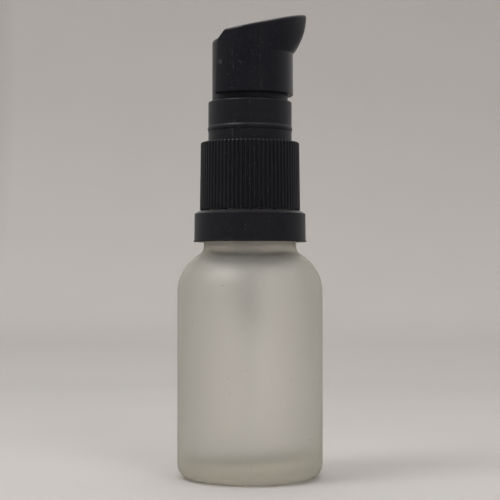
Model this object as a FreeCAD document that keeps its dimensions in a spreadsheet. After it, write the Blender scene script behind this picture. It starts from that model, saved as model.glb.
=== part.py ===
import FreeCAD, Part
import math
import os
import re
import Sketcher

# Pump oil bottle: a round 15 ml frosted glass bottle with a screw-on treatment pump.
# Millimetres, +Z up. The origin is the centre of the foot ring, on the surface that the bottle
# stands on, and the beak of the pump head points along +X. The head is pushed all the way down,
# the way it is locked for transport. Every radius is taken from the bottle's axis.

SIZES = {
    "fit": (0.02, "gap left between pieces that seat on or in each other"),
    "over": (1.0, "how far a cut is drawn past what it cuts"),
    # glass bottle, outside
    "body_r": (14.28, "radius of the straight wall"),
    "heel_r": (2.8, "rounding between wall and foot"),
    "foot_inner_r": (9.8, "inside radius of the foot ring"),
    "push_up": (1.0, "rise of the domed underside"),
    "shoulder_z": (36.4, "top of the straight wall"),
    "shoulder_r": (8.5, "rounding of the shoulder"),
    "neck_r": (9.1, "plain neck under the bead"),
    "neck_fillet": (2.0, "rounding between shoulder and neck"),
    "bead_r": (9.75, "bead that keeps the tamper ring down"),
    "bead_z": (48.5, "underside of the bead"),
    "bead_top_z": (49.3, "top of the bead's rim"),
    "bead_slope_z": (51.0, "where the bead's slope meets the neck"),
    "root_r": (8.0, "neck between the thread's turns"),
    "crest_r": (8.75, "top of the thread"),
    "mouth_z": (63.0, "sealing lip"),
    "lip_round": (0.6, "rounding of the lip"),
    # glass bottle, inside
    "cavity_r": (12.4, "inside radius of the body"),
    "inner_shoulder_z": (35.9, "top of the straight inside wall"),
    "inner_shoulder_r": (7.0, "inside rounding of the shoulder"),
    "mouth_r": (5.9, "bore of the neck"),
    "mouth_flare": (0.35, "opened edge of the bore"),
    "floor_z": (4.0, "inside floor on the axis"),
    "floor_tilt": (4.0, "slope of the inside floor, degrees, higher towards +X"),
    "floor_round": (3.0, "rounding between inside floor and wall"),
    # thread between bottle and cap
    "pitch": (3.0, "rise per turn"),
    "thread_z": (54.2, "start of the bottle's thread, at its middle"),
    "thread_turns": (1.8, "turns of the bottle's thread"),
    "thread_root_half": (0.95, "half width of the bottle's thread at its root"),
    "thread_crest_half": (0.45, "half width of the bottle's thread at its crest"),
    "cap_thread_turns": (1.6, "turns of the cap's thread"),
    "cap_thread_r": (8.15, "crest of the cap's thread"),
    "cap_thread_root_half": (0.8, "half width of the cap's thread at its root"),
    "cap_thread_crest_half": (0.35, "half width of the cap's thread at its crest"),
    "thread_bite": (0.25, "how deep a thread's root runs into its wall"),
    # tamper ring
    "ring_z": (46.25, "underside"),
    "ring_lip_r": (11.12, "small lip around the underside"),
    "ring_lip_h": (0.26, "height of the lip"),
    "ring_low_r": (10.99, "band at its foot"),
    "ring_high_r": (10.93, "band at its top"),
    "ring_band_z": (51.75, "top of the band"),
    "ring_top_z": (52.3, "flat top"),
    "ring_top_r": (10.0, "outside of the flat top"),
    "ring_top_inner_r": (9.2, "inside of the flat top"),
    "ring_flange_z": (50.9, "underside of the top flange"),
    "ring_bore_r": (9.9, "inside of the band"),
    "ring_lead_r": (9.6, "opening at the underside, before the claws narrow it"),
    "claw_r": (9.35, "claws that catch under the bead"),
    "claw_z": (47.1, "foot of the claws"),
    "claw_top_z": (48.4, "top of the claws"),
    "claw_slots": (8, "slots between the claws"),
    "claw_slot_width": (1.4, "width of a slot"),
    # breakaway bridges between ring and cap
    "bridge_count": (12, "bridges around the ring"),
    "bridge_width": (0.5, "width of a bridge"),
    "bridge_depth": (0.55, "radial depth of a bridge"),
    # screw cap
    "cap_z": (52.55, "lower edge"),
    "cap_top_z": (65.8, "top of the deck"),
    "cap_deck": (0.9, "thickness of the deck"),
    "cap_low_r": (9.88, "over the ribs at the lower edge"),
    "cap_high_r": (9.71, "over the ribs at the top"),
    "cap_bore_r": (8.9, "inside of the skirt"),
    "cap_lead": (0.2, "widening of the skirt's mouth"),
    "cap_lead_height": (0.4, "height of the widening"),
    "cap_hole_r": (8.27, "hole in the deck"),
    "cap_edge": (0.3, "rounding of the outer edges"),
    "rib_count": (72, "grip ribs"),
    "rib_depth": (0.26, "height of a rib"),
    "rib_root": (0.62, "width of a rib at its root"),
    "rib_crest": (0.3, "width of a rib at its crest"),
    "rib_sink": (0.2, "how deep a rib's root runs into the skirt"),
    # collar
    "collar_r": (8.22, "outside of the sleeve"),
    "collar_inner_r": (7.62, "inside of the sleeve"),
    "collar_top_z": (73.8, "top of the sleeve"),
    "collar_edge": (0.22, "rounding of the top edge"),
    "collar_flange_r": (8.85, "flange held under the cap's deck"),
    "collar_bead_r": (8.35, "snap bead around the sleeve"),
    "collar_bead_low_z": (67.9, "foot of the bead"),
    "collar_bead_high_z": (69.0, "top of the bead"),
    "collar_floor": (0.75, "thickness of the floor over the stem guide"),
    "collar_hole_r": (4.0, "hole in the floor"),
    "collar_recess_r": (5.6, "recess around the guide's flange"),
    # gasket
    "gasket_inner_r": (5.92, "inside radius"),
    "gasket_r": (8.05, "outside radius"),
    "gasket_height": (0.58, "thickness"),
    # pump housing
    "flange_r": (8.2, "flange over the gasket"),
    "flange_height": (0.58, "thickness of the flange"),
    "barrel_r": (5.6, "wide upper barrel"),
    "barrel_bore_r": (4.7, "bore that holds the stem guide"),
    "barrel_z": (58.0, "foot of the wide barrel"),
    "barrel_bore_z": (57.8, "foot of its bore"),
    "housing_r": (3.4, "pump chamber, outside"),
    "housing_top_z": (56.0, "top of the chamber's straight wall"),
    "chamber_r": (2.8, "pump chamber, inside"),
    "chamber_top_z": (56.6, "top of the chamber's bore"),
    "chamber_z": (33.0, "floor of the chamber"),
    "housing_foot_z": (31.8, "foot of the chamber's outside wall"),
    "socket_top_z": (30.2, "top of the tube socket's outside wall"),
    "socket_r": (2.1, "tube socket, outside"),
    "socket_z": (26.6, "lower end of the tube socket"),
    "socket_bore_r": (1.45, "bore of the tube socket"),
    "socket_bore_z": (29.4, "end of the tube socket's bore"),
    "valve_r": (1.4, "bore around the inlet ball"),
    "seat_r": (0.7, "hole under the inlet ball"),
    "seat_z": (30.0, "foot of the ball's seat"),
    "vent_r": (0.35, "air hole through the chamber's wall"),
    "vent_z": (55.4, "height of the air hole"),
    # stem guide
    "guide_r": (4.68, "plug in the barrel"),
    "guide_flange_r": (5.55, "flange on the housing"),
    "guide_flange": (0.58, "thickness of the flange"),
    "guide_bore_r": (1.82, "bore that the stem runs in"),
    # valve and spring
    "ball_r": (1.0, "inlet ball"),
    "cage_height": (1.2, "thickness of the cage's disc"),
    "cage_boss_r": (1.75, "boss inside the spring"),
    "cage_top_z": (36.0, "top of the boss"),
    "cage_bore_r": (0.6, "hole through the cage"),
    "cage_slot_r": (1.25, "reach of the cage's slots"),
    "cage_slot_width": (0.5, "width of a slot"),
    "cage_slots": (3, "slots around the cage"),
    "wire_r": (0.25, "spring wire"),
    "coil_r": (2.05, "middle of the spring's coils"),
    "coil_turns": (8.5, "turns of the spring"),
    # dip tube
    "tube_r": (1.43, "outside radius"),
    "tube_bore_r": (0.95, "inside radius"),
    "tube_z": (5.2, "lower tip"),
    "tube_cut": (1.6, "height of the slanted cut"),
    # stem, piston rod and piston
    "stem_r": (1.75, "outside radius of the stem"),
    "stem_bore_r": (1.0, "bore of the stem"),
    "stem_z": (49.6, "lower end of the stem"),
    "stem_top_z": (80.9, "upper end of the stem"),
    "stop_r": (2.4, "ring that stops the stem"),
    "stop_z": (52.75, "underside of the ring"),
    "stop_height": (0.7, "thickness of the ring"),
    "rod_head_r": (2.35, "valve head under the piston"),
    "rod_head_z": (46.92, "underside of the head"),
    "rod_head_top_z": (48.56, "top of the head"),
    "rod_cone_z": (47.9, "top of the head's rim"),
    "rod_r": (0.98, "shank in the stem's bore"),
    "rod_top_z": (53.2, "top of the shank"),
    "rod_slot": (0.8, "slot through the shank"),
    "rod_slot_z": (48.86, "foot of the slot"),
    "piston_r": (2.78, "lips of the piston"),
    "piston_waist_r": (2.5, "between the lips"),
    "piston_tip_r": (2.53, "inside of the lower lip's tip"),
    "piston_bore_r": (1.8, "bore around the stem"),
    "piston_z": (49.4, "lower edge"),
    "piston_lip": (0.6, "height of a lip"),
    # pump head: inner core
    "core_r": (7.45, "outside radius"),
    "core_z": (67.4, "lower edge of the skirt"),
    "core_top_z": (86.15, "flat top"),
    "core_edge": (0.9, "rounding of the top edge"),
    "core_skirt_r": (6.6, "inside of the skirt"),
    "core_roof_z": (84.6, "underside of the top"),
    "boss_r": (3.0, "boss around the stem"),
    "boss_z": (69.0, "lower end of the boss"),
    "stem_socket_r": (1.78, "socket for the stem"),
    "duct_r": (0.8, "duct from the stem to the nozzle"),
    "duct_wall_r": (1.9, "wall around the duct"),
    "duct_start": (2.25, "start of the duct's wall, inside the boss"),
    "duct_reach": (7.0, "end of the duct's wall, inside the skirt"),
    # pump head: nozzle
    "nozzle_z": (81.8, "where the nozzle's line leaves the axis"),
    "nozzle_rise": (20.0, "rise of the nozzle's line, degrees"),
    "nozzle_seat": (8.35, "back of the insert, along the line"),
    "nozzle_length": (0.75, "length of the insert"),
    "nozzle_r": (1.0, "outside of the insert"),
    "nozzle_bore_r": (0.45, "bore of the insert"),
    "nozzle_flare": (0.2, "opened edge of the insert's bore"),
    # pump head: hood
    "hood_r": (8.5, "round back of the hood"),
    "hood_z": (75.1, "lower edge"),
    "hood_bore_r": (7.47, "inside radius"),
    "hood_roof_z": (86.2, "underside of the hood's top"),
    "hood_edge": (0.45, "rounding of the top edge"),
    "hood_foot_edge": (0.12, "rounding of the lower edge"),
    "parting_width": (0.1, "line along each side where the mould parts"),
    "parting_depth": (0.05, "depth of that line"),
    "top_back_z": (87.25, "back end of the dished top"),
    "top_front_z": (91.58, "front end of the dished top"),
    "top_front_x": (12.15, "front end of the dished top, past the beak's tip"),
    "top_dish_r": (85.0, "radius of the dish in side view"),
    "back_low_x": (6.75, "back edges behind the axis, at the lower edge"),
    "back_high_x": (6.33, "back edges behind the axis, at the corner cut"),
    "back_corner_z": (85.4, "foot of the cut back corner"),
    "back_corner_x": (4.83, "front of the cut back corner, behind the axis"),
    # pump head: beak
    "beak_z": (83.3, "where the beak leaves the hood"),
    "beak_top_z": (90.9, "height of the beak's furthest reach"),
    "beak_reach": (11.15, "tip of the beak in front of the axis"),
    "beak_spare": (1.5, "how far the beak is drawn past its top before the trim"),
    "beak_tip_r": (3.0, "roundness of the beak's tip seen from above"),
    "beak_x": (1.5, "where the beak's sides leave the round hood"),
}

# Heights of the stack between the bottle's mouth and the cap's deck, one on the other.
GASKET_Z = "(mouth_z + fit)"
FLANGE_Z = "(mouth_z + gasket_height + 2 * fit)"
GUIDE_Z = "(mouth_z + gasket_height + flange_height + 3 * fit)"
COLLAR_CEILING_Z = "(mouth_z + gasket_height + flange_height + guide_flange + 4 * fit)"
DECK_Z = "(cap_top_z - cap_deck)"

# The foot of the fillet between shoulder and neck, outside and inside.
NECK_FOOT_Z = "(shoulder_z + sqrt(shoulder_r^2 - (neck_r - body_r + shoulder_r)^2))"
BORE_FOOT_Z = "(inner_shoulder_z + sqrt(inner_shoulder_r^2 - (mouth_r - cavity_r + inner_shoulder_r)^2))"

# The beak seen from above, from the round hood to its full reach: how far the tip moves forward,
# how much its arc's centre moves and shrinks, how much the side arcs grow, and the half angle of
# the tip's arc, which stays the same.
BEAK_FLARE = "(beak_reach - hood_r)"
BEAK_GAIN = "(beak_reach - beak_tip_r)"
BEAK_TAPER = "(hood_r - beak_tip_r)"
BEAK_SWELL = f"(({BEAK_GAIN}^2 - {BEAK_TAPER}^2) / (2 * ({BEAK_TAPER} - {BEAK_GAIN} * beak_x / hood_r)))"
BEAK_TURN = (
    f"atan({BEAK_SWELL} * sin(acos(beak_x / hood_r)) / ({BEAK_GAIN} + {BEAK_SWELL} * beak_x / hood_r))"
)
BEAK_LEVELS = 4

# How close a measured edge or face has to come to the one that is wanted.
NEAR = 0.02

doc = FreeCAD.newDocument("pump_oil_bottle")
sheet = doc.addObject("Spreadsheet::Sheet", "dims")
for row, (alias, (size, meaning)) in enumerate(SIZES.items(), 1):
    sheet.set(f"A{row}", meaning)
    sheet.set(f"B{row}", str(size))
    sheet.setAlias(f"B{row}", alias)
doc.recompute()


def bound(expression):
    """The expression with every size's name pointing at its cell in the sheet."""
    return re.sub(r"[a-z]\w*", lambda word: "dims." * (word[0] in SIZES) + word[0], expression)


def number(expression):
    """The value of an expression in the sheet's sizes."""
    return float(sheet.evalExpression(expression))


def bind(feature, prop, expression):
    """Keeps one property of a feature equal to an expression in the sheet's sizes."""
    feature.setExpression(prop, bound(expression))


def new_body(label):
    """An empty PartDesign body that becomes the sub-part with this name."""
    body = doc.addObject("PartDesign::Body", label)
    body.Label = label
    return body


def new_sketch(body, name, plane):
    """An empty sketch on one of the body's own origin planes."""
    sketch = body.newObject("Sketcher::SketchObject", name)
    planes = {feature.Role: feature for feature in body.Origin.OriginFeatures}
    sketch.AttachmentSupport = (planes[plane], "")
    sketch.MapMode = "FlatFace"
    return sketch


def nozzle_sketch(body, name, radius, distance):
    """A circle square to the nozzle's line, at a distance along that line from the axis."""
    sketch = new_sketch(body, name, "XY_Plane")
    tilt = FreeCAD.Rotation(FreeCAD.Vector(0, 1, 0), 90 - number("nozzle_rise"))
    sketch.AttachmentOffset = FreeCAD.Placement(FreeCAD.Vector(), tilt)
    bind(sketch, "AttachmentOffset.Base.x", f"{distance} * cos(nozzle_rise)")
    bind(sketch, "AttachmentOffset.Base.z", f"nozzle_z + {distance} * sin(nozzle_rise)")
    draw_circle(sketch, radius)
    return sketch


def arc_between(start, end, radius, side):
    """The shorter arc from start to end whose centre lies on that side of the way there."""
    turn = 1 if side == "left" else -1
    chord = end - start
    height = math.sqrt(radius ** 2 - chord.Length ** 2 / 4)
    across = FreeCAD.Vector(-chord.y, chord.x, 0) * (turn / chord.Length)
    centre = (start + end) * 0.5 + across * height
    first, last = (start, end) if side == "left" else (end, start)
    angles = [math.atan2((point - centre).y, (point - centre).x) for point in (first, last)]
    circle = Part.Circle(centre, FreeCAD.Vector(0, 0, 1), radius)
    return Part.ArcOfCircle(circle, angles[0], angles[1])


def pin_point(sketch, item, point, x, y):
    """Holds a point of the sketch at these two expressions."""
    for axis, kind, text in ((-2, "DistanceX", x), (-1, "DistanceY", y)):
        if text == "0":
            sketch.addConstraint(Sketcher.Constraint("PointOnObject", item, point, axis))
        else:
            pin = sketch.addConstraint(Sketcher.Constraint(kind, -1, 1, item, point, number(text)))
            bind(sketch, f"Constraints[{pin}]", text)


def pin_radius(sketch, item, radius):
    """Holds the radius of a circle or an arc at this expression."""
    pin = sketch.addConstraint(Sketcher.Constraint("Radius", item, number(radius)))
    bind(sketch, f"Constraints[{pin}]", radius)


def draw_outline(sketch, corners):
    """Closes a sketch's outline through its corners. A corner is (x, y), or (x, y, radius, side)
    when an arc leads from it to the next one; all are expressions in the sheet's sizes."""
    points = [FreeCAD.Vector(number(corner[0]), number(corner[1]), 0) for corner in corners]
    ends = []
    for index, corner in enumerate(corners):
        start, end = points[index], points[(index + 1) % len(points)]
        if len(corner) == 2:
            sketch.addGeometry(Part.LineSegment(start, end))
            ends.append((1, 2))
        else:
            sketch.addGeometry(arc_between(start, end, number(corner[2]), corner[3]))
            ends.append((1, 2) if corner[3] == "left" else (2, 1))
    for index, (_, end) in enumerate(ends):
        following = (index + 1) % len(ends)
        sketch.addConstraint(Sketcher.Constraint("Coincident", index, end, following, ends[following][0]))
    for index, corner in enumerate(corners):
        pin_point(sketch, index, ends[index][0], corner[0], corner[1])
        if len(corner) > 2:
            pin_radius(sketch, index, corner[2])


def draw_circle(sketch, radius, x="0", y="0"):
    """Draws a circle around a point of the sketch."""
    centre = FreeCAD.Vector(number(x), number(y), 0)
    sketch.addGeometry(Part.Circle(centre, FreeCAD.Vector(0, 0, 1), number(radius)))
    pin_point(sketch, 0, 3, x, y)
    pin_radius(sketch, 0, radius)


def revolve(body, kind, name, corners):
    """Turns a half-section, given as (radius, height) corners, a full turn about Z."""
    sketch = new_sketch(body, name + "_section", "XZ_Plane")
    draw_outline(sketch, corners)
    feature = body.newObject("PartDesign::" + kind, name)
    feature.Profile = sketch
    feature.ReferenceAxis = (sketch, ["V_Axis"])
    feature.Angle = 360
    return feature


def extrude(body, kind, name, sketch, length, reverse=False, both_ways=False):
    """Pads or pockets a sketch by a length, away from its plane or half to each side of it."""
    feature = body.newObject("PartDesign::" + kind, name)
    feature.Profile = sketch
    bind(feature, "Length", length)
    feature.Reversed = reverse
    if both_ways:
        feature.SideType = "Symmetric"
    return feature


def repeat_about_z(body, name, feature, count):
    """Repeats a feature evenly around the body's Z axis."""
    pattern = body.newObject("PartDesign::PolarPattern", name)
    pattern.Originals = [feature]
    z_axis = [item for item in body.Origin.OriginFeatures if item.Role == "Z_Axis"][0]
    pattern.Axis = (z_axis, [""])
    pattern.Angle = 360
    bind(pattern, "Occurrences", count)
    body.Tip = pattern
    return pattern


def round_edges(body, name, radius, wanted):
    """Fillets those edges of the body's tip that the wanted test picks."""
    doc.recompute()
    base = body.Tip
    names = [f"Edge{index}" for index, edge in enumerate(base.Shape.Edges, 1) if wanted(edge)]
    if not names:
        raise SystemExit(f"{body.Label}: no edge found for {name}")
    fillet = body.newObject("PartDesign::Fillet", name)
    fillet.Base = (base, names)
    bind(fillet, "Radius", radius)
    return fillet


def ring_at(radius, height):
    """A test for round edges of this radius about Z, at this height."""
    def wanted(edge):
        centre = edge.CenterOfMass
        box = edge.BoundBox
        flat = box.ZMax - box.ZMin < NEAR and abs(centre.z - number(height)) < NEAR
        return flat and abs(max(box.XMax, -box.XMin) - number(radius)) < NEAR
    return wanted


def add_thread(body, name, root, crest, root_half, crest_half, middle, turns):
    """Winds a right-handed thread onto the body, with its root sunk into the wall."""
    sketch = new_sketch(body, name + "_section", "XZ_Plane")
    draw_outline(sketch, (
        (root, f"{middle} - {root_half}"),
        (crest, f"{middle} - {crest_half}"),
        (crest, f"{middle} + {crest_half}"),
        (root, f"{middle} + {root_half}"),
    ))
    thread = body.newObject("PartDesign::AdditiveHelix", name)
    thread.Profile = sketch
    thread.ReferenceAxis = (sketch, ["V_Axis"])
    thread.Mode = "pitch-turns-angle"
    bind(thread, "Pitch", "pitch")
    bind(thread, "Turns", turns)
    return thread


def make_bottle():
    """Glass: the turned outside with its thread, less a cavity with a slightly tilted floor."""
    glass = new_body("glass")
    revolve(glass, "Revolution", "outside", (
        ("0", "push_up", "(foot_inner_r^2 + push_up^2) / (2 * push_up)", "right"),
        ("foot_inner_r", "0"),
        ("body_r - heel_r", "0", "heel_r", "left"),
        ("body_r", "heel_r"),
        ("body_r", "shoulder_z", "shoulder_r", "left"),
        ("neck_r", NECK_FOOT_Z),
        ("neck_r", "bead_z"),
        ("bead_r", "bead_z"),
        ("bead_r", "bead_top_z"),
        ("root_r", "bead_slope_z"),
        ("root_r", "mouth_z - lip_round", "lip_round", "left"),
        ("root_r - lip_round", "mouth_z"),
        ("0", "mouth_z"),
    ))
    add_thread(glass, "bottle_thread", "root_r - thread_bite", "crest_r", "thread_root_half",
               "thread_crest_half", "thread_z", "thread_turns")
    round_edges(glass, "neck_rounding", "neck_fillet", ring_at("neck_r", NECK_FOOT_Z))

    cavity = new_body("cavity")
    revolve(cavity, "Revolution", "inside", (
        ("0", "floor_z / 2"),
        ("cavity_r", "floor_z / 2"),
        ("cavity_r", "inner_shoulder_z", "inner_shoulder_r", "left"),
        ("mouth_r", BORE_FOOT_Z),
        ("mouth_r", "mouth_z - mouth_flare"),
        ("mouth_r + mouth_flare", "mouth_z"),
        ("mouth_r + mouth_flare", "mouth_z + over"),
        ("0", "mouth_z + over"),
    ))
    under_floor = new_sketch(cavity, "under_floor", "XZ_Plane")
    draw_outline(under_floor, (
        ("-body_r", "-floor_z"),
        ("body_r", "-floor_z"),
        ("body_r", "floor_z + body_r * tan(floor_tilt)"),
        ("-body_r", "floor_z - body_r * tan(floor_tilt)"),
    ))
    extrude(cavity, "Pocket", "tilted_floor", under_floor, "4 * body_r", both_ways=True)
    round_edges(cavity, "bore_rounding", "neck_fillet", ring_at("mouth_r", BORE_FOOT_Z))
    slope = math.tan(math.radians(number("floor_tilt")))

    def on_floor(edge):
        points = [vertex.Point for vertex in edge.Vertexes] + [edge.CenterOfMass]
        return all(abs(point.z - number("floor_z") - slope * point.x) < NEAR for point in points)

    round_edges(cavity, "floor_rounding", "floor_round", on_floor)
    bottle = doc.addObject("Part::Cut", "bottle")
    bottle.Base = glass
    bottle.Tool = cavity
    return bottle


def make_tamper_ring():
    """Band left on the neck when the cap is first opened, with claws under the neck's bead."""
    ring = new_body("tamper_ring")
    revolve(ring, "Revolution", "band", (
        ("ring_lead_r", "ring_z"),
        ("ring_lip_r", "ring_z"),
        ("ring_lip_r", "ring_z + ring_lip_h"),
        ("ring_low_r", "ring_z + ring_lip_h"),
        ("ring_high_r", "ring_band_z"),
        ("ring_top_r", "ring_top_z"),
        ("ring_top_inner_r", "ring_top_z"),
        ("ring_top_inner_r", "ring_flange_z"),
        ("ring_bore_r", "ring_flange_z"),
        ("ring_bore_r", "claw_top_z"),
        ("claw_r", "claw_top_z"),
        ("claw_r", "claw_z"),
    ))
    slot = new_sketch(ring, "slot_outline", "XZ_Plane")
    draw_outline(slot, (
        ("claw_r - over", "ring_z - over"),
        ("ring_bore_r", "ring_z - over"),
        ("ring_bore_r", "claw_top_z + over"),
        ("claw_r - over", "claw_top_z + over"),
    ))
    cut = extrude(ring, "Pocket", "claw_slot", slot, "claw_slot_width", both_ways=True)
    repeat_about_z(ring, "claw_slots_all", cut, "claw_slots")
    return ring


def make_tamper_bridges():
    """Thin posts between the ring and the cap, which snap when the cap is first turned."""
    posts = []
    for index in range(int(number("bridge_count"))):
        post = doc.addObject("Part::Box", "bridge")
        bind(post, "Length", "bridge_depth")
        bind(post, "Width", "bridge_width")
        bind(post, "Height", "cap_z - ring_top_z - fit")
        angle = 360.0 * index / number("bridge_count")
        corner = FreeCAD.Vector(number("ring_top_inner_r"), -number("bridge_width") / 2, 0)
        turned = FreeCAD.Rotation(FreeCAD.Vector(0, 0, 1), angle)
        height = FreeCAD.Vector(0, 0, number("ring_top_z"))
        post.Placement = FreeCAD.Placement(turned.multVec(corner) + height, turned)
        posts.append(post)
    bridges = doc.addObject("Part::Compound", "tamper_bridges")
    bridges.Links = posts
    return bridges


def make_screw_cap():
    """Ribbed closure: a threaded skirt and a deck that clamps the pump onto the bottle's mouth."""
    cap = new_body("screw_cap")
    revolve(cap, "Revolution", "shell", (
        ("cap_bore_r + cap_lead", "cap_z"),
        ("cap_low_r - rib_depth", "cap_z"),
        ("cap_high_r - rib_depth", "cap_top_z"),
        ("cap_hole_r", "cap_top_z"),
        ("cap_hole_r", DECK_Z),
        ("cap_bore_r", DECK_Z),
        ("cap_bore_r", "cap_z + cap_lead_height"),
    ))
    add_thread(cap, "cap_thread", "cap_bore_r + thread_bite", "cap_thread_r",
               "cap_thread_root_half", "cap_thread_crest_half", "thread_z + pitch / 2",
               "cap_thread_turns")
    sections = []
    for name, crest, height in (
        ("rib_foot", "cap_low_r", "cap_z"),
        ("rib_head", "cap_high_r", "cap_top_z"),
    ):
        section = new_sketch(cap, name, "XY_Plane")
        bind(section, "AttachmentOffset.Base.z", height)
        draw_outline(section, (
            (f"{crest} - rib_depth - rib_sink", "-rib_root / 2"),
            (f"{crest} - rib_depth", "-rib_root / 2"),
            (crest, "-rib_crest / 2"),
            (crest, "rib_crest / 2"),
            (f"{crest} - rib_depth", "rib_root / 2"),
            (f"{crest} - rib_depth - rib_sink", "rib_root / 2"),
        ))
        sections.append(section)
    rib = cap.newObject("PartDesign::AdditiveLoft", "rib")
    rib.Profile = sections[0]
    rib.Sections = sections[1:]
    rib.Ruled = True
    repeat_about_z(cap, "ribs", rib, "rib_count")
    revolve(cap, "Groove", "top_edge", (
        ("cap_high_r - cap_edge", "cap_top_z + over"),
        ("cap_high_r - cap_edge", "cap_top_z", "cap_edge", "right"),
        ("cap_high_r", "cap_top_z - cap_edge"),
        ("cap_low_r + over", "cap_top_z - cap_edge"),
        ("cap_low_r + over", "cap_top_z + over"),
    ))
    return cap


def make_collar():
    """Sleeve over the cap: its flange lies under the cap's deck and its floor holds the guide."""
    collar = new_body("collar")
    bead_rise = "(collar_bead_r - collar_r)"
    bead_half = "((collar_bead_high_z - collar_bead_low_z) / 2)"
    bead_round = f"({bead_half}^2 + {bead_rise}^2) / (2 * {bead_rise})"
    revolve(collar, "Revolution", "sleeve", (
        ("collar_recess_r", GUIDE_Z),
        ("collar_flange_r", GUIDE_Z),
        ("collar_flange_r", f"{DECK_Z} - fit"),
        ("collar_r", f"{DECK_Z} - fit"),
        ("collar_r", "collar_bead_low_z", bead_round, "left"),
        ("collar_r", "collar_bead_high_z"),
        ("collar_r", "collar_top_z - collar_edge", "collar_edge", "left"),
        ("collar_r - collar_edge", "collar_top_z"),
        ("collar_inner_r", "collar_top_z"),
        ("collar_inner_r", f"{COLLAR_CEILING_Z} + collar_floor"),
        ("collar_hole_r", f"{COLLAR_CEILING_Z} + collar_floor"),
        ("collar_hole_r", COLLAR_CEILING_Z),
        ("collar_recess_r", COLLAR_CEILING_Z),
    ))
    return collar


def make_neck_gasket():
    """Soft ring that seals the pump's flange on the bottle's lip."""
    gasket = new_body("neck_gasket")
    revolve(gasket, "Revolution", "ring", (
        ("gasket_inner_r", GASKET_Z),
        ("gasket_r", GASKET_Z),
        ("gasket_r", f"{GASKET_Z} + gasket_height"),
        ("gasket_inner_r", f"{GASKET_Z} + gasket_height"),
    ))
    return gasket


def make_pump_housing():
    """Hangs in the neck by its flange: a wide barrel, the pump chamber, the ball's seat and the
    socket for the dip tube, with an air hole near the top of the chamber."""
    housing = new_body("pump_housing")
    revolve(housing, "Revolution", "wall", (
        ("socket_bore_r", "socket_z"),
        ("socket_r", "socket_z"),
        ("socket_r", "socket_top_z"),
        ("housing_r", "housing_foot_z"),
        ("housing_r", "housing_top_z"),
        ("barrel_r", "barrel_z"),
        ("barrel_r", FLANGE_Z),
        ("flange_r", FLANGE_Z),
        ("flange_r", f"{FLANGE_Z} + flange_height"),
        ("barrel_bore_r", f"{FLANGE_Z} + flange_height"),
        ("barrel_bore_r", "barrel_bore_z"),
        ("chamber_r", "chamber_top_z"),
        ("chamber_r", "chamber_z"),
        ("valve_r", "chamber_z"),
        ("valve_r", "seat_z + valve_r - seat_r"),
        ("seat_r", "seat_z"),
        ("seat_r", "socket_bore_z"),
        ("socket_bore_r", "socket_bore_z"),
    ))
    vent = new_sketch(housing, "vent_outline", "YZ_Plane")
    draw_circle(vent, "vent_r", y="vent_z")
    extrude(housing, "Pocket", "vent", vent, "2 * housing_r", reverse=True)
    return housing


def make_stem_guide():
    """Plug in the top of the housing that the stem slides through."""
    guide = new_body("stem_guide")
    revolve(guide, "Revolution", "bush", (
        ("guide_bore_r", "barrel_z"),
        ("guide_r", "barrel_z"),
        ("guide_r", GUIDE_Z),
        ("guide_flange_r", GUIDE_Z),
        ("guide_flange_r", f"{GUIDE_Z} + guide_flange"),
        ("guide_bore_r", f"{GUIDE_Z} + guide_flange"),
    ))
    return guide


def make_ball_cage():
    """Disc that keeps the inlet ball down, centres the spring and lets the oil past."""
    cage = new_body("ball_cage")
    revolve(cage, "Revolution", "disc", (
        ("cage_bore_r", "chamber_z + fit"),
        ("chamber_r - fit", "chamber_z + fit"),
        ("chamber_r - fit", "chamber_z + cage_height"),
        ("cage_boss_r", "chamber_z + cage_height"),
        ("cage_boss_r", "cage_top_z"),
        ("cage_bore_r", "cage_top_z"),
    ))
    slot = new_sketch(cage, "slot_outline", "XY_Plane")
    draw_outline(slot, (
        ("cage_bore_r / 2", "-cage_slot_width / 2"),
        ("cage_slot_r", "-cage_slot_width / 2"),
        ("cage_slot_r", "cage_slot_width / 2"),
        ("cage_bore_r / 2", "cage_slot_width / 2"),
    ))
    cut = extrude(cage, "Pocket", "slot", slot, "cage_top_z + over", reverse=True)
    repeat_about_z(cage, "slots", cut, "cage_slots")
    return cage


def make_inlet_ball():
    """Ball resting on the cone under the chamber."""
    ball = doc.addObject("Part::Sphere", "inlet_ball")
    bind(ball, "Radius", "ball_r")
    bind(ball, "Placement.Base.z", "seat_z - seat_r + (ball_r + fit) * sqrt(2)")
    return ball


def make_main_spring():
    """Return spring between the ball cage and the valve head."""
    spring = new_body("main_spring")
    wire = new_sketch(spring, "wire", "XZ_Plane")
    draw_circle(wire, "wire_r", x="coil_r", y="chamber_z + cage_height + wire_r + fit")
    coil = spring.newObject("PartDesign::AdditiveHelix", "coil")
    coil.Profile = wire
    coil.ReferenceAxis = (wire, ["V_Axis"])
    coil.Mode = "height-turns-angle"
    bind(coil, "Height", "rod_head_z - chamber_z - cage_height - 2 * wire_r - 2 * fit")
    bind(coil, "Turns", "coil_turns")
    return spring


def make_dip_tube():
    """Tube from the housing's socket down to the floor, its lower end cut on the slant."""
    tube = new_body("dip_tube")
    revolve(tube, "Revolution", "tube", (
        ("tube_bore_r", "tube_z"),
        ("tube_r", "tube_z"),
        ("tube_r", "socket_bore_z - fit"),
        ("tube_bore_r", "socket_bore_z - fit"),
    ))
    slant = new_sketch(tube, "slant", "XZ_Plane")
    draw_outline(slant, (
        ("-tube_r", "tube_z - over"),
        ("tube_r + over", "tube_z - over"),
        ("tube_r + over", "tube_z + tube_cut * (1 + over / (2 * tube_r))"),
        ("-tube_r", "tube_z"),
    ))
    extrude(tube, "Pocket", "slant_cut", slant, "4 * tube_r", both_ways=True)
    return tube


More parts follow.
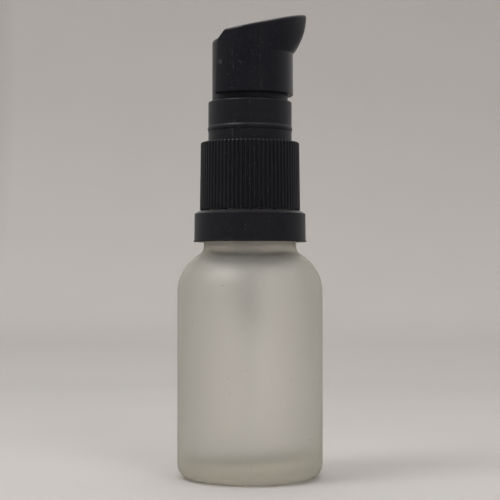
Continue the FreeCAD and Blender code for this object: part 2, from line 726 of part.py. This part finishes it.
def make_stem():
    """Hollow stem that carries the head and stops against the guide when it is up."""
    stem = new_body("stem")
    revolve(stem, "Revolution", "tube", (
        ("stem_bore_r", "stem_z"),
        ("stem_r", "stem_z"),
        ("stem_r", "stop_z"),
        ("stop_r", "stop_z"),
        ("stop_r", "stop_z + stop_height"),
        ("stem_r", "stop_z + stop_height"),
        ("stem_r", "stem_top_z"),
        ("stem_bore_r", "stem_top_z"),
    ))
    return stem


def make_piston_rod():
    """Valve head under the piston, on a shank pushed up into the stem and slotted for the oil."""
    rod = new_body("piston_rod")
    revolve(rod, "Revolution", "head", (
        ("0", "rod_head_z"),
        ("rod_head_r", "rod_head_z"),
        ("rod_head_r", "rod_cone_z"),
        ("rod_r", "rod_head_top_z"),
        ("rod_r", "rod_top_z"),
        ("0", "rod_top_z"),
    ))
    slot = new_sketch(rod, "slot_outline", "XZ_Plane")
    draw_outline(slot, (
        ("-rod_slot / 2", "rod_slot_z"),
        ("rod_slot / 2", "rod_slot_z"),
        ("rod_slot / 2", "rod_top_z + over"),
        ("-rod_slot / 2", "rod_top_z + over"),
    ))
    extrude(rod, "Pocket", "slot", slot, "4 * rod_r", both_ways=True)
    return rod


def make_piston():
    """Soft piston with two lips, which slips a little along the stem to open the way for oil."""
    piston = new_body("piston")
    revolve(piston, "Revolution", "seal", (
        ("piston_bore_r", "piston_z + piston_lip / 2"),
        ("piston_tip_r", "piston_z"),
        ("piston_r", "piston_z"),
        ("piston_r", "piston_z + piston_lip"),
        ("piston_waist_r", "piston_z + 2 * piston_lip"),
        ("piston_waist_r", "stop_z - fit - 2 * piston_lip"),
        ("piston_r", "stop_z - fit - piston_lip"),
        ("piston_r", "stop_z - fit"),
        ("piston_bore_r", "stop_z - fit"),
    ))
    return piston


def make_actuator_core():
    """Inner part of the head: a cap on the stem with a duct that leads up to the nozzle."""
    core = new_body("actuator_core")
    revolve(core, "Revolution", "cap", (
        ("core_skirt_r", "core_z"),
        ("core_r", "core_z"),
        ("core_r", "core_top_z - core_edge", "core_edge", "left"),
        ("core_r - core_edge", "core_top_z"),
        ("0", "core_top_z"),
        ("0", "stem_top_z + fit"),
        ("stem_socket_r", "stem_top_z + fit"),
        ("stem_socket_r", "boss_z"),
        ("boss_r", "boss_z"),
        ("boss_r", "core_roof_z"),
        ("core_skirt_r", "core_roof_z"),
    ))
    wall = nozzle_sketch(core, "duct_wall_outline", "duct_wall_r", "duct_start")
    extrude(core, "Pad", "duct_wall", wall, "duct_reach - duct_start")
    duct = nozzle_sketch(core, "duct_outline", "duct_r", "0")
    extrude(core, "Pocket", "duct", duct, "2 * core_r", reverse=True)
    riser = new_sketch(core, "riser_outline", "XY_Plane")
    bind(riser, "AttachmentOffset.Base.z", "nozzle_z")
    draw_circle(riser, "duct_r")
    extrude(core, "Pocket", "riser", riser, "nozzle_z - stem_top_z")
    return core


def make_nozzle_insert():
    """Small nozzle pressed into the beak, made upright and turned onto the nozzle's line."""
    insert = new_body("nozzle_insert")
    revolve(insert, "Revolution", "plug", (
        ("nozzle_bore_r", "0"),
        ("nozzle_r", "0"),
        ("nozzle_r", "nozzle_length"),
        ("nozzle_bore_r + nozzle_flare", "nozzle_length"),
        ("nozzle_bore_r", "nozzle_length - nozzle_flare"),
    ))
    tilt = FreeCAD.Rotation(FreeCAD.Vector(0, 1, 0), 90 - number("nozzle_rise"))
    insert.Placement = FreeCAD.Placement(FreeCAD.Vector(), tilt)
    bind(insert, "Placement.Base.x", "nozzle_seat * cos(nozzle_rise)")
    bind(insert, "Placement.Base.z", "nozzle_z + nozzle_seat * sin(nozzle_rise)")
    return insert


def beak_section(body, name, height, share):
    """One level of the beak seen from above, a share of the way from the round hood to the full
    beak: the round back, a round tip in front and an arc along each side that meets both without
    a corner. At share 0 all four arcs lie on the hood's own circle."""
    section = new_sketch(body, name, "XY_Plane")
    bind(section, "AttachmentOffset.Base.z", height)
    tip_x = f"{share} * {BEAK_GAIN}"
    tip_r = f"hood_r - {share} * {BEAK_TAPER}"
    side_r = f"hood_r + {share} * {BEAK_SWELL}"
    tip_end_x = f"{tip_x} + ({tip_r}) * cos({BEAK_TURN})"
    tip_angle = math.radians(number(BEAK_TURN))
    side_angle = math.acos(number("beak_x / hood_r"))
    offset = number(side_r) - number("hood_r")
    side_x = -offset * math.cos(side_angle)
    side_y = -offset * math.sin(side_angle)
    up = FreeCAD.Vector(0, 0, 1)
    arcs = (
        (number(tip_x), 0, number(tip_r), -tip_angle, tip_angle),
        (side_x, side_y, number(side_r), tip_angle, side_angle),
        (0, 0, number("hood_r"), side_angle, 2 * math.pi - side_angle),
        (side_x, -side_y, number(side_r), -side_angle, -tip_angle),
    )
    for x, y, radius, first, last in arcs:
        circle = Part.Circle(FreeCAD.Vector(x, y, 0), up, radius)
        section.addGeometry(Part.ArcOfCircle(circle, first, last))
    for index in range(4):
        section.addConstraint(Sketcher.Constraint("Coincident", index, 2, (index + 1) % 4, 1))
    section.addConstraint(Sketcher.Constraint("Coincident", 2, 3, -1, 1))
    section.addConstraint(Sketcher.Constraint("PointOnObject", 0, 3, -1))
    for kind, where, expression in (
        ("Radius", (0,), tip_r),
        ("Radius", (1,), side_r),
        ("Radius", (2,), "hood_r"),
        ("Radius", (3,), side_r),
        ("DistanceX", (-1, 1, 0, 3), tip_x),
        ("DistanceX", (-1, 1, 0, 1), tip_end_x),
        ("DistanceX", (-1, 1, 0, 2), tip_end_x),
        ("DistanceX", (-1, 1, 2, 1), "beak_x"),
        ("DistanceX", (-1, 1, 2, 2), "beak_x"),
    ):
        pin = section.addConstraint(Sketcher.Constraint(kind, *where, number(expression)))
        bind(section, f"Constraints[{pin}]", expression)
    return section


def make_spout_hood():
    """Outer part of the head: a round shell over the core, open at the back, that flares into a
    beak under a dished top which climbs towards the tip."""
    hood = new_body("spout_hood")
    revolve(hood, "Revolution", "round_shell", (
        ("0", "hood_z"),
        ("hood_r - hood_foot_edge", "hood_z", "hood_foot_edge", "left"),
        ("hood_r", "hood_z + hood_foot_edge"),
        ("hood_r", "beak_z"),
        ("0", "beak_z"),
    ))
    rise = "(beak_top_z - beak_z)"
    sweep_r = f"(({rise}^2 + {BEAK_FLARE}^2) / (2 * {BEAK_FLARE}))"
    levels = []
    for index in range(BEAK_LEVELS + 1):
        left = f"({rise} * {BEAK_LEVELS - index} / {BEAK_LEVELS})"
        share = f"(1 - ({sweep_r} - sqrt({sweep_r}^2 - {left}^2)) / {BEAK_FLARE})"
        levels.append(beak_section(hood, f"beak_level_{index}", f"beak_top_z - {left}", share))
    levels.append(beak_section(hood, "beak_level_top", "beak_top_z + beak_spare", "1"))
    beak = hood.newObject("PartDesign::AdditiveLoft", "beak")
    beak.Profile = levels[0]
    beak.Sections = levels[1:]
    beak.Ruled = False
    trim = new_sketch(hood, "trim_outline", "XZ_Plane")
    draw_outline(trim, (
        ("-back_low_x", "hood_z - over"),
        ("-back_low_x", "hood_z"),
        ("-back_high_x", "back_corner_z"),
        ("-back_corner_x", "top_back_z", "top_dish_r", "left"),
        ("top_front_x", "top_front_z"),
        ("top_front_x", "top_front_z + 2 * beak_spare"),
        ("-2 * hood_r", "top_front_z + 2 * beak_spare"),
        ("-2 * hood_r", "hood_z - over"),
    ))
    extrude(hood, "Pocket", "trim", trim, "4 * hood_r", both_ways=True)
    doc.recompute()
    dish_r = number("top_dish_r")
    dish = next(
        face for face in hood.Tip.Shape.Faces
        if isinstance(face.Surface, Part.Cylinder) and abs(face.Surface.Radius - dish_r) < NEAR
    )
    rim = [edge for edge in dish.Edges if edge.CenterOfMass.x > NEAR - number("back_corner_x")]
    round_edges(hood, "top_edge", "hood_edge", lambda edge: any(edge.isSame(other) for other in rim))
    bore = new_sketch(hood, "bore_outline", "XY_Plane")
    bind(bore, "AttachmentOffset.Base.z", "hood_z")
    draw_circle(bore, "hood_bore_r")
    extrude(hood, "Pocket", "bore", bore, "hood_roof_z - hood_z", reverse=True)
    seat = nozzle_sketch(hood, "nozzle_seat_outline", "nozzle_r + fit", "nozzle_seat")
    extrude(hood, "Pocket", "nozzle_seat_bore", seat, "hood_r", reverse=True)
    duct = nozzle_sketch(hood, "duct_outline", "duct_r", "core_skirt_r")
    extrude(hood, "Pocket", "duct", duct, "hood_r", reverse=True)
    for name, side in (("near", "-1"), ("far", "1")):
        line = new_sketch(hood, f"parting_{name}_outline", "XY_Plane")
        bind(line, "AttachmentOffset.Base.z", "hood_z")
        inner = f"{side} * (sqrt(hood_r^2 - beak_x^2) - parting_depth)"
        outer = f"{side} * (hood_r + over)"
        draw_outline(line, (
            ("beak_x - parting_width / 2", inner),
            ("beak_x + parting_width / 2", inner),
            ("beak_x + parting_width / 2", outer),
            ("beak_x - parting_width / 2", outer),
        ))
        extrude(hood, "Pocket", f"parting_{name}", line, "top_front_z - hood_z", reverse=True)
    return hood


MAKERS = (
    make_bottle, make_tamper_ring, make_tamper_bridges, make_screw_cap, make_collar,
    make_neck_gasket, make_pump_housing, make_stem_guide, make_ball_cage, make_inlet_ball,
    make_main_spring, make_dip_tube, make_stem, make_piston_rod, make_piston,
    make_actuator_core, make_nozzle_insert, make_spout_hood,
)

parts = [make() for make in MAKERS]
doc.recompute()
for item in doc.Objects:
    if "Invalid" in item.State or "Error" in item.State:
        raise SystemExit(f"{item.Label} failed: {item.State}")
for part in parts:
    if part.Shape.isNull() or not part.Shape.isValid():
        raise SystemExit(f"{part.Label} has no valid shape")
os.makedirs("parts", exist_ok=True)
for part in parts:
    part.Shape.exportStep(f"parts/{part.Label}.step")
    print(f"{part.Label}: {part.Shape.Volume:.2f} mm3, {len(part.Shape.Solids)} solid(s)")
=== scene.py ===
import math

import bmesh
import bpy
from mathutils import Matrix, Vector


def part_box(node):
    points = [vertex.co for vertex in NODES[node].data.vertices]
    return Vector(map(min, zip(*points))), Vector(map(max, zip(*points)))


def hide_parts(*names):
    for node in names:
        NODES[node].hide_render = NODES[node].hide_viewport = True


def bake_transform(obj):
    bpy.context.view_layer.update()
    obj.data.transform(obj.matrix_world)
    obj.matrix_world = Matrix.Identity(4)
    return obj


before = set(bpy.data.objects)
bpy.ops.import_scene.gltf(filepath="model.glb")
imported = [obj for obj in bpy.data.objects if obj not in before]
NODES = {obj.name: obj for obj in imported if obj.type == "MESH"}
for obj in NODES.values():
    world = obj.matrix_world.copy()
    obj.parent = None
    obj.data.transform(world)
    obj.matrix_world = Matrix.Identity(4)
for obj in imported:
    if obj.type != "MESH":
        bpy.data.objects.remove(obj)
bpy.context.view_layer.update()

MM = 0.001

# The middle of the bottle's wall, which parts its etched outside from its polished inside.
# Below the foot's height everything is outside.
SHOULDER_FOOT_Z = 36.15 * MM
SHOULDER_R = 7.75 * MM
SHOULDER_CENTRE_R = 5.6 * MM
NECK_R = 7.0 * MM
FOOT_Z = 2 * MM
# The glass looks milky up to the first height and clears towards the second.
MILKY_Z = 37 * MM
CLEAR_Z = 47 * MM

# The only scuff, on the front left of the head.
SCUFF_PLACE = (-5.8 * MM, -6.2 * MM, 81 * MM)
SCUFF_REACH = 1.1 * MM
# The mottling of the black plastic and the frost of the glass have blobs of this size.
MOTTLE = 0.3 * MM

SPRING_WIRE_R = 0.25 * MM
SPRING_TURNS = 8.5
SPRING_CLOSED_TURNS = 1.0

# The studio: a round floor that bends up into a wall.
FLOOR_R = 0.55
FLOOR_BEND_R = 0.16
WALL_TOP = 0.62
LAMP_TARGET = (0, 0, 0.05)
DAYLIGHT = (1, 0.99, 0.97)
WARM_LIGHT = (1, 0.985, 0.96)

CAMERA_DISTANCE = 0.280
CAMERA_HEIGHT = 0.0407
CAMERA_TIP_UP_DEGREES = 0.81
LENS_MM = 102.24
SENSOR_MM = 36


def opaque(red, green, blue):
    return (red, green, blue, 1)


def shade(colour, share):
    """The colour darkened to a share of its brightness."""
    return tuple(share * part for part in colour[:3]) + (1,)


class Finish:
    """A material under construction: a Principled shader and the nodes that feed it. Lengths
    are in metres, because every piece's own coordinates are."""

    def __init__(self, name, **inputs):
        self.material = bpy.data.materials.new(name)
        self.material.use_nodes = True
        self.tree = self.material.node_tree
        self.shader = self.tree.nodes["Principled BSDF"]
        place = self.add("ShaderNodeTexCoord")
        self.place = place.outputs["Object"]
        for key, value in inputs.items():
            self.feed(key.replace("_", " "), value)

    def add(self, kind, **settings):
        node = self.tree.nodes.new(kind)
        for key, value in settings.items():
            setattr(node, key, value)
        return node

    def join(self, value, socket):
        """Puts a number, a colour or another node's output into a socket."""
        if isinstance(value, bpy.types.NodeSocket):
            self.tree.links.new(value, socket)
        else:
            socket.default_value = value

    def feed(self, name, value):
        self.join(value, self.shader.inputs[name])

    def math(self, operation, *values):
        node = self.add("ShaderNodeMath", operation=operation)
        for value, socket in zip(values, node.inputs):
            self.join(value, socket)
        return node.outputs[0]

    def plus(self, first, second):
        return self.math("ADD", first, second)

    def times(self, first, second):
        return self.math("MULTIPLY", first, second)

    def larger(self, first, second):
        return self.math("MAXIMUM", first, second)

    def axes(self):
        """X, Y and Z of the point that is shaded."""
        node = self.add("ShaderNodeSeparateXYZ")
        self.join(self.place, node.inputs[0])
        return node.outputs

    def radius(self):
        """Distance from the object's upright axis."""
        x, y, _ = self.axes()
        return self.math("SQRT", self.plus(self.times(x, x), self.times(y, y)))

    def near(self, point, reach):
        """1 at the point, falling to 0 at the distance reach from it."""
        node = self.add("ShaderNodeVectorMath", operation="DISTANCE")
        self.join(self.place, node.inputs[0])
        node.inputs[1].default_value = point
        return self.span(node.outputs["Value"], reach, 0)

    def noise(self, size, detail=2.0, stretch=(1, 1, 1), warp=0.0):
        """Cloudy pattern around 0.5 whose blobs are about size across. A stretch under 1 makes
        them longer along that axis."""
        scaled = self.add("ShaderNodeVectorMath", operation="MULTIPLY")
        self.join(self.place, scaled.inputs[0])
        scaled.inputs[1].default_value = stretch
        node = self.add("ShaderNodeTexNoise")
        self.join(scaled.outputs[0], node.inputs["Vector"])
        node.inputs["Scale"].default_value = 1 / size
        node.inputs["Detail"].default_value = detail
        node.inputs["Distortion"].default_value = warp
        return node.outputs[0]

    def span(self, value, low, high, start=0.0, end=1.0):
        """value from low..high mapped to start..end, clamped."""
        node = self.add("ShaderNodeMapRange")
        for socket, number in zip(node.inputs, (value, low, high, start, end)):
            self.join(number, socket)
        return node.outputs[0]

    def wide(self, pattern, start, end):
        """A noise pattern mapped to start..end over all that it usually reaches."""
        return self.span(pattern, 0.3, 0.7, start, end)

    def crisp(self, pattern):
        """A noise pattern mapped to 0..1 with some of its peaks and hollows cut off."""
        return self.span(pattern, 0.35, 0.65)

    def blend(self, share, first, second):
        """Colour from first to second by share."""
        node = self.add("ShaderNodeMix", data_type="RGBA")
        self.join(share, node.inputs["Factor"])
        for socket, colour in zip(node.inputs[6:8], (first, second)):
            self.join(colour, socket)
        return node.outputs[2]

    def relief(self, height, depth, strength, under=None):
        """Bump of the given depth in metres; under is a normal that it is laid on."""
        node = self.add("ShaderNodeBump")
        node.inputs["Strength"].default_value = strength
        node.inputs["Distance"].default_value = depth
        self.join(height, node.inputs["Height"])
        if under is not None:
            self.join(under, node.inputs["Normal"])
        return node.outputs[0]

    def soft_edges(self, radius):
        """Normal that rounds the sharp edges of a moulding."""
        node = self.add("ShaderNodeBevel", samples=6)
        node.inputs["Radius"].default_value = radius
        return node.outputs[0]


def etched_side(glass, z):
    """1 on the bottle's outside, 0 on its inside."""
    rise = glass.larger(glass.math("SUBTRACT", z, SHOULDER_FOOT_Z), 0.0)
    run_squared = glass.math("SUBTRACT", SHOULDER_R ** 2, glass.times(rise, rise))
    shoulder = glass.plus(glass.math("SQRT", glass.larger(run_squared, 0.0)), SHOULDER_CENTRE_R)
    beyond = glass.math("GREATER_THAN", glass.radius(), glass.larger(shoulder, NECK_R))
    return glass.larger(beyond, glass.math("LESS_THAN", z, FOOT_Z))


def frosted_glass():
    """Clear glass etched matt on the outside and left fire-polished inside."""
    glass = Finish("frosted_glass", IOR=1.5)
    _, _, z = glass.axes()
    etched = etched_side(glass, z)
    cloud = glass.noise(9 * MM, 3)
    grain = glass.noise(0.12 * MM)
    matt = glass.plus(glass.wide(cloud, 0.57, 0.63), glass.wide(grain, -0.03, 0.03))
    glass.feed("Transmission Weight", glass.span(z, MILKY_Z, CLEAR_Z, 0.86, 0.97))
    glass.feed("Roughness", glass.plus(glass.times(matt, etched), 0.06))
    glass.feed("Normal", glass.relief(glass.times(grain, etched), 0.004 * MM, 0.5))
    frost = glass.crisp(glass.noise(MOTTLE, 3))
    clean = glass.blend(frost, opaque(0.955, 0.943, 0.92), opaque(1.0, 0.988, 0.965))
    speck = glass.span(glass.noise(0.45 * MM, 1), 0.80, 0.82)
    glass.feed("Base Color", glass.blend(speck, clean, opaque(0.2, 0.18, 0.16)))
    tint = glass.add("ShaderNodeVolumeAbsorption")
    tint.inputs["Color"].default_value = opaque(0.80, 0.785, 0.61)
    tint.inputs["Density"].default_value = 38
    glass.join(tint.outputs[0], glass.tree.nodes["Material Output"].inputs["Volume"])
    return glass.material


def black_moulding(name, rough, wear, edge, grain_size=0.09 * MM, grain_depth=0.006 * MM, scuff=None):
    """Black polypropylene: fine mould texture, faint flow clouds, dust, hair scratches as strong
    as wear says and perhaps a scuff."""
    black = Finish(name, IOR=1.49)
    scratches = black.noise(0.5 * MM, 3, stretch=(1, 1, 0.06), warp=1.5)
    rubbed = black.span(scratches, 0.69, 0.72, 0.0, wear)
    if scuff is not None:
        nicks = black.times(black.near(scuff, SCUFF_REACH), black.noise(MOTTLE, stretch=(1, 1, 0.5)))
        rubbed = black.larger(rubbed, black.span(nicks, 0.27, 0.34))
    dust = black.span(black.noise(MOTTLE, 1), 0.73, 0.76)
    mottle = black.crisp(black.noise(MOTTLE, 3))
    base = black.blend(mottle, opaque(0.0055, 0.0051, 0.0086), opaque(0.0110, 0.0101, 0.0150))
    worn = black.blend(rubbed, base, opaque(0.035, 0.035, 0.037))
    black.feed("Base Color", black.blend(dust, worn, opaque(0.07, 0.068, 0.064)))
    cloud = black.noise(6 * MM, 3, warp=0.5)
    level = black.plus(black.wide(cloud, rough - 0.03, rough + 0.05), black.times(rubbed, 0.2))
    black.feed("Roughness", black.plus(level, black.times(dust, 0.3)))
    grain = black.noise(grain_size)
    black.feed("Normal", black.relief(grain, grain_depth, 0.6, black.soft_edges(edge)))
    return black.material


def milky(name, tint, through, bend, rough, grain_size, grain_depth, rings):
    """Natural polyolefin that lets the share through of the light pass. bend is its index of
    refraction, and rings is the distance between the flow lines around the moulding."""
    plastic = Finish(name, IOR=bend, Transmission_Weight=through)
    _, _, z = plastic.axes()
    cloud = plastic.noise(2.5 * MM, 3)
    wave = plastic.math("SINE", plastic.times(z, 2 * math.pi / rings))
    plastic.feed("Base Color", plastic.blend(cloud, shade(tint, 0.96), tint))
    plastic.feed("Roughness", plastic.wide(cloud, rough - 0.06, rough + 0.06))
    height = plastic.plus(plastic.noise(grain_size), plastic.times(wave, 0.25))
    plastic.feed("Normal", plastic.relief(height, grain_depth, 0.6))
    return plastic.material


def foam():
    """Closed-cell foam disc, painted darker in the sunken edges between its cells as painted shade."""
    pad = Finish("gasket", Roughness=0.85)
    cells = pad.add("ShaderNodeTexVoronoi")
    pad.join(pad.place, cells.inputs["Vector"])
    cells.inputs["Scale"].default_value = 1 / (0.25 * MM)
    gap = cells.outputs["Distance"]
    # Painted shade: darker towards the sunken edges of the cells.
    pad.feed("Base Color", pad.blend(gap, opaque(0.7878, 0.78, 0.7722), opaque(0.612, 0.6, 0.588)))
    pad.feed("Normal", pad.relief(gap, -0.03 * MM, 0.8))
    return pad.material


def steel(name, tint, rough, grain_size, stretch=(1, 1, 1)):
    """Stainless steel with drawing marks."""
    metal = Finish(name, Metallic=1.0)
    marks = metal.noise(grain_size, 3, stretch=stretch)
    stain = metal.noise(1.5 * MM)
    metal.feed("Base Color", metal.blend(stain, shade(tint, 0.72), tint))
    metal.feed("Roughness", metal.wide(marks, rough - 0.07, rough + 0.09))
    metal.feed("Normal", metal.relief(marks, 0.003 * MM, 0.4))
    return metal.material


def pale_paper():
    """Paper of the floor and the wall, with light and shade painted into its colour. It is painted lighter
    in front of the object than behind it and lightest on the wall, as painted light; the floor near the
    object is kept darker against the lamps, and the wall's two sides are painted dark, as painted shade
    that darkens the edges of the glass."""
    paper = Finish("pale_paper", Roughness=0.9)
    # Painted shade: the paper's tones below are a little darker in the hollows of this crease pattern,
    # which also drives the relief.
    crease = paper.noise(0.05, 4)
    x, y, _ = paper.axes()
    # Painted shade: the floor near the object is kept darker against the lamps' light there, so that the
    # floor comes out even.
    near_tone = paper.blend(crease, opaque(0.55, 0.53, 0.514), opaque(0.59, 0.57, 0.553))
    far_tone = paper.blend(crease, opaque(0.56, 0.541, 0.525), opaque(0.60, 0.581, 0.565))
    # Painted light: a bright paper tone for where the lamps reach less, on the wall and on the floor in
    # front of the object.
    painted_light_tone = paper.blend(crease, opaque(0.85, 0.824, 0.80), opaque(0.89, 0.863, 0.84))
    # Painted light: the floor in front of the object turns to the bright tone.
    front_tone = paper.blend(paper.span(y, -0.03, -0.16), near_tone, painted_light_tone)
    floor_tone = paper.blend(paper.span(paper.radius(), 0.10, 0.20), front_tone, far_tone)
    # Painted light: the paper turns to the bright tone away from the object and up the wall, where the
    # lamps' light falls off.
    back_tone = paper.blend(paper.span(paper.radius(), 0.22, 0.62), floor_tone, painted_light_tone)
    # Painted shade: the wall's two sides are painted dark, so that they darken the edges of the glass.
    aside = paper.larger(paper.span(x, -0.16, -0.26), paper.span(x, 0.24, 0.45))
    painted_side_shade = paper.times(aside, paper.span(paper.radius(), 0.40, 0.62))
    paper.feed("Base Color", paper.blend(painted_side_shade, back_tone, opaque(0.25, 0.244, 0.239)))
    paper.feed("Normal", paper.relief(crease, 1.5 * MM, 0.3))
    return paper.material


def paint(material, *nodes):
    """Gives a material to CAD nodes."""
    for name in nodes:
        for slot in NODES[name].material_slots:
            slot.material = material


def new_object(name, mesh, material):
    """Turns a bmesh into a smooth object in the scene."""
    data = bpy.data.meshes.new(name)
    mesh.to_mesh(data)
    mesh.free()
    data.shade_smooth()
    data.materials.append(material)
    thing = bpy.data.objects.new(name, data)
    bpy.context.scene.collection.objects.link(thing)
    return thing


def bridge(mesh, first, second):
    """Faces between two rings with the same number of points."""
    for side in range(len(first)):
        after = (side + 1) % len(first)
        mesh.faces.new((first[side], second[side], second[after], first[after]))


def helix_spring(name, cad_node, material):
    """Coil spring as tall and as wide as its CAD node, with closed turns at both ends."""
    steps, sides = 44, 12
    low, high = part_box(cad_node)
    coil_r = (high.x - low.x) / 2 - SPRING_WIRE_R
    bottom, top = low.z + SPRING_WIRE_R, high.z - SPRING_WIRE_R
    closed_pitch = 1.02 * 2 * SPRING_WIRE_R
    closed = SPRING_CLOSED_TURNS * closed_pitch
    open_pitch = (top - bottom - 2 * closed) / (SPRING_TURNS - 2 * SPRING_CLOSED_TURNS)

    def lift(turn):
        """Height of the wire's middle after so many turns from the bottom."""
        if turn < SPRING_CLOSED_TURNS:
            return bottom + closed_pitch * turn
        if turn > SPRING_TURNS - SPRING_CLOSED_TURNS:
            return top - closed_pitch * (SPRING_TURNS - turn)
        return bottom + closed + open_pitch * (turn - SPRING_CLOSED_TURNS)

    mesh = bmesh.new()
    rings = []
    for step in range(int(steps * SPRING_TURNS) + 1):
        angle = 2 * math.pi * step / steps
        out = Vector((math.cos(angle), math.sin(angle), 0))
        centre = out * coil_r + Vector((0, 0, lift(step / steps)))
        ring = []
        for side in range(sides):
            around = 2 * math.pi * side / sides
            offset = out * math.cos(around) + Vector((0, 0, math.sin(around)))
            ring.append(mesh.verts.new(centre + offset * SPRING_WIRE_R))
        rings.append(ring)
    for first, second in zip(rings, rings[1:]):
        bridge(mesh, first, second)
    mesh.faces.new(rings[0])
    mesh.faces.new(reversed(rings[-1]))
    bmesh.ops.recalc_face_normals(mesh, faces=mesh.faces)
    spring = new_object(name, mesh, material)
    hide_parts(cad_node)
    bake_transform(spring)


def studio_bowl():
    """Pale paper floor that curves up into a low wall all around, the stage of every view."""
    bend_steps, around = 12, 96
    profile = [(0.02 * step, 0.0) for step in range(1, 7)] + [(0.6 * FLOOR_R, 0.0)]
    for step in range(bend_steps + 1):
        angle = math.pi / 2 * step / bend_steps
        profile.append((FLOOR_R + FLOOR_BEND_R * math.sin(angle), FLOOR_BEND_R * (1 - math.cos(angle))))
    profile.append((FLOOR_R + FLOOR_BEND_R, WALL_TOP))
    turns = [2 * math.pi * step / around for step in range(around)]
    mesh = bmesh.new()
    middle = mesh.verts.new((0, 0, 0))
    rings = []
    for radius, height in profile:
        rings.append([mesh.verts.new((radius * math.cos(t), radius * math.sin(t), height)) for t in turns])
    for step in range(around):
        mesh.faces.new((middle, rings[0][step], rings[0][(step + 1) % around]))
    for inner, outer in zip(rings, rings[1:]):
        bridge(mesh, inner, outer)
    bowl = new_object("studio_bowl", mesh, pale_paper())
    bowl.visible_glossy = False


def soft_light(name, place, size, power, tint, spread=180, mirrored=True):
    """Round lamp that the camera doesn't see. One that isn't mirrored makes no highlights."""
    lamp = bpy.data.lights.new(name, "AREA")
    lamp.shape = "DISK"
    lamp.size = size
    lamp.energy = power
    lamp.color = tint
    lamp.spread = math.radians(spread)
    light = bpy.data.objects.new(name, lamp)
    light.location = place
    light.visible_camera = False
    light.visible_glossy = mirrored
    to_target = Vector(LAMP_TARGET) - Vector(place)
    light.rotation_euler = to_target.to_track_quat("-Z", "Y").to_euler()
    bpy.context.scene.collection.objects.link(light)


def room_light():
    """Dim light from the front and below, brighter from the back and above."""
    brightest_direction = (0, 0.35, 0.8)
    world = bpy.data.worlds.new("room")
    world.use_nodes = True
    nodes, links = world.node_tree.nodes, world.node_tree.links
    direction = nodes.new("ShaderNodeTexCoord")
    lift = nodes.new("ShaderNodeVectorMath")
    lift.operation = "DOT_PRODUCT"
    links.new(direction.outputs["Generated"], lift.inputs[0])
    lift.inputs[1].default_value = brightest_direction
    ramp = nodes.new("ShaderNodeMapRange")
    ramp.interpolation_type = "SMOOTHSTEP"
    links.new(lift.outputs["Value"], ramp.inputs["Value"])
    for key, value in (("From Min", -0.2), ("From Max", 1.0), ("To Min", 0.07), ("To Max", 0.92)):
        ramp.inputs[key].default_value = value
    background = nodes["Background"]
    background.inputs["Color"].default_value = opaque(1, 0.975, 0.955)
    links.new(ramp.outputs[0], background.inputs["Strength"])
    bpy.context.scene.world = world


def main_camera():
    """Camera level with the bottle's wall, tipped up a little so that the head is in view."""
    data = bpy.data.cameras.new("camera")
    data.sensor_width = SENSOR_MM
    data.lens = LENS_MM
    data.clip_start = 0.01
    data.clip_end = 10
    camera = bpy.data.objects.new("camera", data)
    camera.location = (0, -CAMERA_DISTANCE, CAMERA_HEIGHT)
    camera.rotation_euler = (math.radians(90 + CAMERA_TIP_UP_DEGREES), 0, 0)
    bpy.context.scene.collection.objects.link(camera)
    bpy.context.scene.camera = camera


satin = black_moulding("black_plastic", rough=0.42, wear=0.7, edge=0.12 * MM)
handled = black_moulding("head_plastic", rough=0.30, wear=1.0, edge=0.25 * MM, scuff=SCUFF_PLACE)
ribbed = black_moulding("ribbed_plastic", rough=0.44, wear=0.4, edge=0.05 * MM,
                        grain_size=0.07 * MM, grain_depth=0.008 * MM)
natural = milky("clear_plastic", opaque(0.93, 0.93, 0.915), through=0.88, bend=1.38, rough=0.22,
                grain_size=0.1 * MM, grain_depth=0.006 * MM, rings=0.6 * MM)
tubing = milky("tube_plastic", opaque(0.98, 0.985, 0.98), through=0.97, bend=1.3, rough=0.12,
               grain_size=0.15 * MM, grain_depth=0.005 * MM, rings=0.9 * MM)
soft_white = milky("piston", opaque(0.84, 0.84, 0.81), through=0.15, bend=1.5, rough=0.42,
                   grain_size=0.08 * MM, grain_depth=0.01 * MM, rings=0.35 * MM)
wire = steel("spring_steel", opaque(0.66, 0.65, 0.63), 0.28, 0.08 * MM, stretch=(1, 1, 3))
polished = steel("ball_steel", opaque(0.74, 0.74, 0.73), 0.14, 0.2 * MM)

paint(frosted_glass(), "bottle")
paint(satin, "collar", "actuator_core", "nozzle_insert")
paint(handled, "spout_hood")
paint(ribbed, "screw_cap", "tamper_ring", "tamper_bridges")
paint(natural, "pump_housing", "stem_guide", "ball_cage", "stem", "piston_rod")
paint(tubing, "dip_tube")
paint(foam(), "neck_gasket")
paint(soft_white, "piston")
paint(polished, "inlet_ball")
helix_spring("coil_spring", "main_spring", wire)

studio_bowl()
room_light()
soft_light("window_left", (-0.25, -0.14, 0.45), 0.22, 0.85, DAYLIGHT)
soft_light("window_right", (0.18, -0.22, 0.45), 0.18, 0.22, DAYLIGHT)
soft_light("ceiling", (0.0, 0.12, 0.55), 0.35, 0.5, WARM_LIGHT)
soft_light("room_fill", (0.26, -0.58, 0.22), 0.3, 0.15, WARM_LIGHT, spread=60, mirrored=False)
main_camera()
bpy.context.scene.view_settings.view_transform = "Standard"
